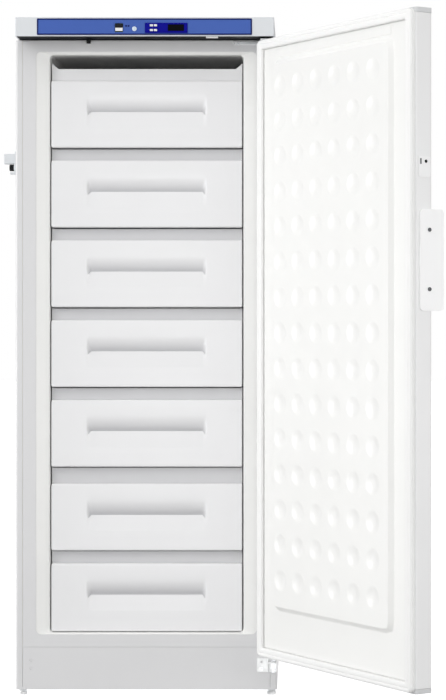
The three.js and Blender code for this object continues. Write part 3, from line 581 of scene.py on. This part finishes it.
def console_details():
    bm = bmesh.new()
    edges = [
        (BORDER_OUTER, FASCIA_FACE),
        (BORDER_OUTER, BORDER_FACE),
        (BORDER_INNER, BORDER_FACE),
        (BORDER_INNER, FASCIA_FACE),
    ]
    loft(bm, [ring(*outline, y) for outline, y in edges], closed=True)
    piece("fascia_border", bm, CABINET, "cabinet", "navy_plastic", material=NAVY_EDGE)
    rocker = body_of(nodes["power_switch"])[0]
    block("power_switch_lower", rocker, "white_plastic", *LOWER_ROCKER, r=0.4)
    for k, x in enumerate(TICKS_FROM):
        place = (x, x + TICK_WIDTH, BORDER_FACE, TICK_BACK, TICK_LOW, TICK_TOP)
        block(f"fascia_tick_{k + 1}", "cabinet", "navy_plastic", *place, NAVY_EDGE, 0.1)
    # Painted shade: a black sheet under the console stands in for the shadow beneath its overhang.
    block("console_underside_shade", "cabinet", "black_plastic", *UNDERSIDE_SHADE_SHEET, WINDOW_BLACK, 0.1)
    block("console_tab", "cabinet", "white_plastic", *CONSOLE_TAB, r=0.8)


KEEPER_FACE = -300.3
KEEPER_MID = 1182  # height of the keeper's middle
EYE_Y, EYE_RADIUS = -37, 3.5
SLOT_Y, SLOT_HALF_WIDTH, SLOT_HALF_HEIGHT = -24, 1.9, 5.8


def keeper_details():
    """Dark plates in the bolt hole and the catch slot of the keeper: painted shade in their holes.
    """
    eye = []
    for k in range(24):
        a = math.pi * k / 12
        eye.append((EYE_Y + EYE_RADIUS * math.cos(a), KEEPER_MID + EYE_RADIUS * math.sin(a)))
    y0, y1 = SLOT_Y - SLOT_HALF_WIDTH, SLOT_Y + SLOT_HALF_WIDTH
    z0, z1 = KEEPER_MID - SLOT_HALF_HEIGHT, KEEPER_MID + SLOT_HALF_HEIGHT
    slot = [(y0, z0), (y1, z0), (y1, z1), (y0, z1)]
    for name, outline, material in (("eye", eye, None), ("slot", slot, DARK_GREY)):
        bm = bmesh.new()
        loft(bm, [[(KEEPER_FACE + depth, y, z) for y, z in outline] for depth in (1.9, 0.5)])
        piece("lock_keeper_" + name, bm, DOOR, "door", "black_plastic", material=material)


cabinet_liner()
door_liner()
door_gasket()
for n in range(1, 8):
    drawer_front(n)
console_details()
keeper_details()

# ---- Carried-over shapes with rounded edges -------------------------------------------
# The width of the rounding in millimetres, and the nodes that have it.
ROUNDED = {
    0.3: [
        "cabinet_shell", "rear_panel", "front_frame", "kick_plate", "base_tray", "rear_grille",
        "door_skin",
    ],
    0.4: [
        "power_inlet", "hinge_bracket_upper", "hinge_pin_upper", "hinge_pin_lower",
        "hinge_screw_lower",
    ],
    0.5: [
        "handle_screw_lower", "handle_screw_upper", "display_module", "power_switch",
        "key_switch",
    ],
    0.6: ["hinge_bracket_lower", "fascia", "lock_barrel", "door_sensor", "lock_keeper"],
    1.0: [
        "foot_front_left", "foot_front_right", "foot_rear_left", "foot_rear_right",
        "evaporator", "control_housing",
    ],
    1.2: ["lock_plate", "door_cap_bottom", "door_cap_top"]
    + [f"menu_button_{k}" for k in range(1, 5)],
    1.6: ["door_handle", "lock_lever", "compressor"],
    1.1: [f"drawer_tub_{k}" for k in range(1, 8)],
    0.2: ["display_window", "control_board", "cabinet_foam", "door_foam", "condenser"],
}
OWN_LOOK = {
    "display_window": WINDOW_BLACK,
    "key_switch": PALE_BLUE,
    "hinge_bracket_lower": BRIGHT_ZINC,
    "foot_front_left": BRIGHT_ZINC,
    "foot_front_right": BRIGHT_ZINC,
    "control_housing": CONSOLE_GREY,
    "lock_plate": CONSOLE_GREY,
    "lock_lever": CONSOLE_GREY,
    # Painted light: the door skin and the handle take lighter copies of their own materials.
    "door_skin": DOOR_PAINTED_LIGHT,
    "door_handle": HANDLE_PAINTED_LIGHT,
    "handle_screw_lower": DARK_GREY,
    "handle_screw_upper": DARK_GREY,
    # The top tub takes the less shaded copy: painted shade under the front above.
    "drawer_tub_1": TOP_TUB_PAINTED_SHADE,
}
# Tubs 2 to 7 take the more shaded copy: painted shade under the drawer front above.
for n in range(2, 8):
    OWN_LOOK[f"drawer_tub_{n}"] = TUB_PAINTED_SHADE
for width, names in ROUNDED.items():
    for name in names:
        rounded(name, width, OWN_LOOK.get(name))

# ---- Floor ----------------------------------------------------------------------------
FLOOR_HALF = 30  # metres
FLOOR_GREY = 0.9
FLOOR_GLOW = 0.75

floor_mesh = bpy.data.meshes.new("floor")
bm = bmesh.new()
bmesh.ops.create_grid(bm, x_segments=4, y_segments=4, size=FLOOR_HALF)
bm.to_mesh(floor_mesh)
bm.free()
floor = bpy.data.objects.new("floor", floor_mesh)
bpy.context.scene.collection.objects.link(floor)
paint = bpy.data.materials.new("floor")
paint.use_nodes = True
shader = paint.node_tree.nodes["Principled BSDF"]
shader.inputs["Base Color"].default_value = (FLOOR_GREY, FLOOR_GREY, FLOOR_GREY, 1)
shader.inputs["Roughness"].default_value = 0.9
shader.inputs["Emission Color"].default_value = (1, 1, 1, 1)
shader.inputs["Emission Strength"].default_value = FLOOR_GLOW
floor_mesh.materials.append(paint)
floor.visible_diffuse = False  # its glow doesn't light the freezer from below

# ---- Room light -----------------------------------------------------------------------
# The room is brighter above the horizon than below it, and plain white behind the object.
ROOM_LOW, ROOM_HIGH = 0.36, 0.57
HORIZON_BLEND = 0.35  # the brightness changes between this far below and above level

world = bpy.data.worlds.new("world")
bpy.context.scene.world = world
world.use_nodes = True
tree = world.node_tree
sky = tree.nodes["Background"]
sky.inputs["Color"].default_value = (1, 1, 1, 1)
way = tree.nodes.new("ShaderNodeTexCoord")
parts = tree.nodes.new("ShaderNodeSeparateXYZ")
rise = tree.nodes.new("ShaderNodeMapRange")
rise.inputs["From Min"].default_value = -HORIZON_BLEND
rise.inputs["From Max"].default_value = HORIZON_BLEND
rise.inputs["To Min"].default_value = ROOM_LOW
rise.inputs["To Max"].default_value = ROOM_HIGH
tree.links.new(way.outputs["Generated"], parts.inputs["Vector"])
tree.links.new(parts.outputs["Z"], rise.inputs["Value"])
tree.links.new(rise.outputs["Result"], sky.inputs["Strength"])
plain = tree.nodes.new("ShaderNodeBackground")
plain.inputs["Color"].default_value = (1, 1, 1, 1)
choose = tree.nodes.new("ShaderNodeMixShader")
path = tree.nodes.new("ShaderNodeLightPath")
tree.links.new(path.outputs["Is Camera Ray"], choose.inputs["Fac"])
tree.links.new(sky.outputs["Background"], choose.inputs[1])
tree.links.new(plain.outputs["Background"], choose.inputs[2])
tree.links.new(choose.outputs["Shader"], tree.nodes["World Output"].inputs["Surface"])

# ---- Lamps ----------------------------------------------------------------------------
# Soft boxes: place and aim in the cabinet frame, width and height in metres, and watts.
LAMPS = {
    "key": ((-2600, -2600, 2600), (150, 0, 800), (1.6, 1.6), 38),
    "over": ((300, -3000, 3200), (0, 0, 700), (1.6, 1.6), 10),
    "top": ((0, -900, 4200), (0, -100, 900), (1.6, 1.6), 10),
    "side": ((-3000, -150, 850), (450, -300, 850), (0.5, 1.4), 34),
    "fill": ((2400, -3600, 1300), (0, 0, 700), (1.6, 1.6), 12),
    "edge": ((4200, -2300, 900), (620, -545, 850), (1.0, 1.4), 27),
    "low": ((350, -4300, 500), (0, 0, 1000), (2.0, 1.0), 21),
    "back": ((-1800, 3200, 2600), (0, 0, 800), (2.5, 2.5), 40),
}
for name, (place, aim, size, power) in LAMPS.items():
    data = bpy.data.lights.new(name, "AREA")
    data.shape = "RECTANGLE"
    data.size, data.size_y = size
    data.energy = power
    obj = bpy.data.objects.new(name, data)
    bpy.context.scene.collection.objects.link(obj)
    obj.location = CABINET @ Vector(place)
    aim_at = CABINET @ Vector(aim)
    obj.rotation_euler = (aim_at - obj.location).to_track_quat("-Z", "Y").to_euler()

view = bpy.context.scene.view_settings
view.view_transform = "Standard"
view.look = "None"
